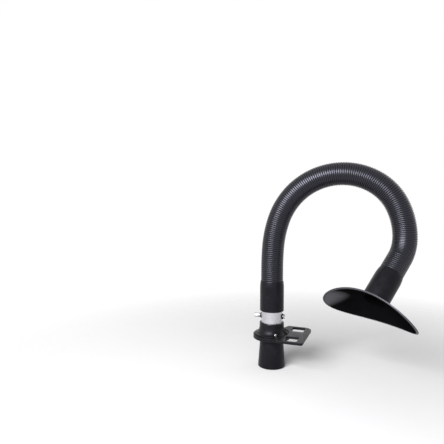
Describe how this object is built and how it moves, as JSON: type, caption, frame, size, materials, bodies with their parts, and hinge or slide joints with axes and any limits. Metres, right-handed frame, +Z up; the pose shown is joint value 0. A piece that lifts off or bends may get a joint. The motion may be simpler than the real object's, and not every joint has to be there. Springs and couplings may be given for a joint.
{
  "type": "fume extraction arm",
  "caption": "Bench-mounted fume extraction arm: a stay-put ribbed black hose on a bracket with a shut-off damper, curving over to a swivelling oval hood.",
  "frame": {"origin": "middle of the bracket's bench pad, on its underside, between the two windows", "axes": "+Z up, square to the bench; +X from the duct tube over the bench; the hose loops over towards +X and its hood turns towards -Y"},
  "size_m": [0.4399, 0.2614, 0.5818],
  "materials": {
    "black_paint": "satin black powder coat",
    "black_moulding": "moulded, matte",
    "bare_aluminium": "turned and drawn, satin",
    "bright_steel": "zinc plated",
    "cuff_rubber": "moulded, matte",
    "hose_plastic": "corrugated, semi-gloss",
    "hood_plastic": "moulded, semi-gloss"
  },
  "bodies": {
    "bracket": {"bracket_plate": "black_paint", "neck_collar": "black_paint", "collar_clamp_screw": "bright_steel", "flange_screw_1": "bright_steel", "flange_screw_2": "bright_steel", "flange_screw_3": "bright_steel", "damper_tube": "bare_aluminium", "duct_sleeve": "cuff_rubber", "spindle_bush_left": "black_moulding", "spindle_bush_right": "black_moulding"},
    "damper": {"damper_spindle": "bright_steel", "damper_disc": "bare_aluminium", "disc_screw_1": "bright_steel", "disc_screw_2": "bright_steel", "damper_knob": "bright_steel", "knob_grub_screw": "bright_steel", "spindle_washer": "bright_steel", "spindle_nut": "bright_steel"},
    "arm_base": {"base_cuff": "cuff_rubber", "hose_1": "hose_plastic"},
    "arm_2": {"hose_2": "hose_plastic"},
    "arm_3": {"hose_3": "hose_plastic"},
    "arm_4": {"hose_4": "hose_plastic"},
    "arm_5": {"hose_5": "hose_plastic"},
    "arm_6": {"hose_6": "hose_plastic"},
    "arm_7": {"hose_7": "hose_plastic"},
    "arm_8": {"hose_8": "hose_plastic"},
    "arm_9": {"hose_9": "hose_plastic", "hood_cuff": "cuff_rubber"},
    "hood": {"hood_shell": "hood_plastic"}
  },
  "joints": [
    {"name": "damper_turn", "type": "hinge", "parent": "bracket", "child": "damper", "pos_m": [-0.068, 0, 0.054], "axis": [0.9945, 0.1045, 0], "range_deg": [0, 90]},
    {"name": "base_swivel", "type": "hinge", "parent": "bracket", "child": "arm_base", "pos_m": [-0.068, 0, 0.07], "axis": [0, 0, 1], "continuous": true},
    {"name": "bend_1", "type": "hinge", "parent": "arm_base", "child": "arm_2", "pos_m": [-0.06585, 0.00023, 0.25195], "axis": [-0.1045, 0.9945, 0], "range_deg": [-20, 4], "deforming": ["hose_1", "hose_2"]},
    {"name": "bend_2", "type": "hinge", "parent": "arm_2", "child": "arm_3", "pos_m": [-0.04998, 0.00189, 0.33216], "axis": [-0.1045, 0.9945, 0], "range_deg": [-30, 4], "deforming": ["hose_2", "hose_3"]},
    {"name": "bend_3", "type": "hinge", "parent": "arm_3", "child": "arm_4", "pos_m": [-0.00889, 0.00621, 0.4023], "axis": [-0.7332, -0.0771, 0.6756], "range_deg": [-20, 20], "deforming": ["hose_3", "hose_4"]},
    {"name": "bend_4", "type": "hinge", "parent": "arm_4", "child": "arm_5", "pos_m": [0.05774, 0.01322, 0.44835], "axis": [-0.1045, 0.9945, 0], "range_deg": [-36, 3], "deforming": ["hose_4", "hose_5"]},
    {"name": "bend_5", "type": "hinge", "parent": "arm_5", "child": "arm_6", "pos_m": [0.13773, 0.02162, 0.46001], "axis": [-0.1045, 0.9945, 0], "range_deg": [-37, 3], "deforming": ["hose_5", "hose_6"]},
    {"name": "bend_6", "type": "hinge", "parent": "arm_6", "child": "arm_7", "pos_m": [0.21411, 0.02754, 0.43326], "axis": [-0.55, -0.045, -0.8339], "range_deg": [-20, 20], "deforming": ["hose_6", "hose_7"]},
    {"name": "bend_7", "type": "hinge", "parent": "arm_7", "child": "arm_8", "pos_m": [0.26671, 0.02872, 0.37175], "axis": [-0.0446, 0.9986, -0.0302], "range_deg": [-37, 3], "deforming": ["hose_7", "hose_8"]},
    {"name": "bend_8", "type": "hinge", "parent": "arm_8", "child": "arm_9", "pos_m": [0.28495, 0.02291, 0.29265], "axis": [-0.0213, 0.9911, -0.1312], "range_deg": [-34, 4], "deforming": ["hose_8", "hose_9"]},
    {"name": "hood_swivel", "type": "hinge", "parent": "arm_9", "child": "hood", "pos_m": [0.2179, -0.07743, 0.13897], "axis": [-0.4004, -0.5679, -0.7191], "continuous": true}
  ]
}
